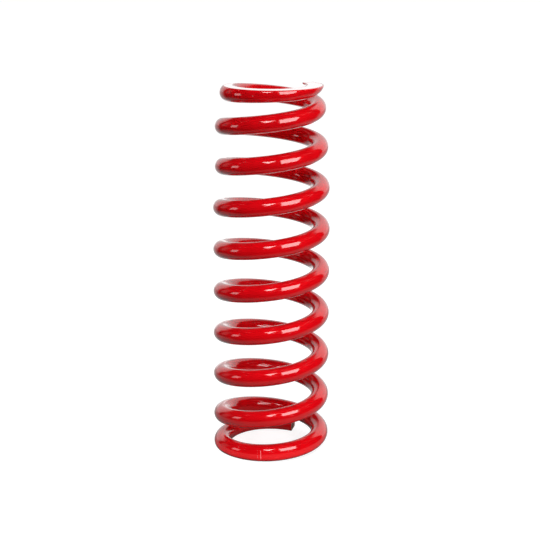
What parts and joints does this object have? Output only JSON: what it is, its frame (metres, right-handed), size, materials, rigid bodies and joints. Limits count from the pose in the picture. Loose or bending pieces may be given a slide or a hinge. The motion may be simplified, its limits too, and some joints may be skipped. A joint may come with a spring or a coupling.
{
  "type": "suspension coil spring",
  "caption": "Right-hand wound compression spring of round steel bar for a vehicle's suspension, with closed and ground ends, a narrower upper end and a gloss red coat.",
  "frame": {"origin": "on the spring's axis, in the plane of the lower ground face", "axes": "+Z along the spring's axis, from the lower end to the narrower upper end; the lower tip stands 64.5 degrees from +X towards +Y"},
  "size_m": [0.09, 0.09, 0.286],
  "materials": {
    "powder_coat": "gloss red powder coat"
  },
  "bodies": {
    "root": {"coil_spring": "powder_coat"}
  },
  "joints": []
}
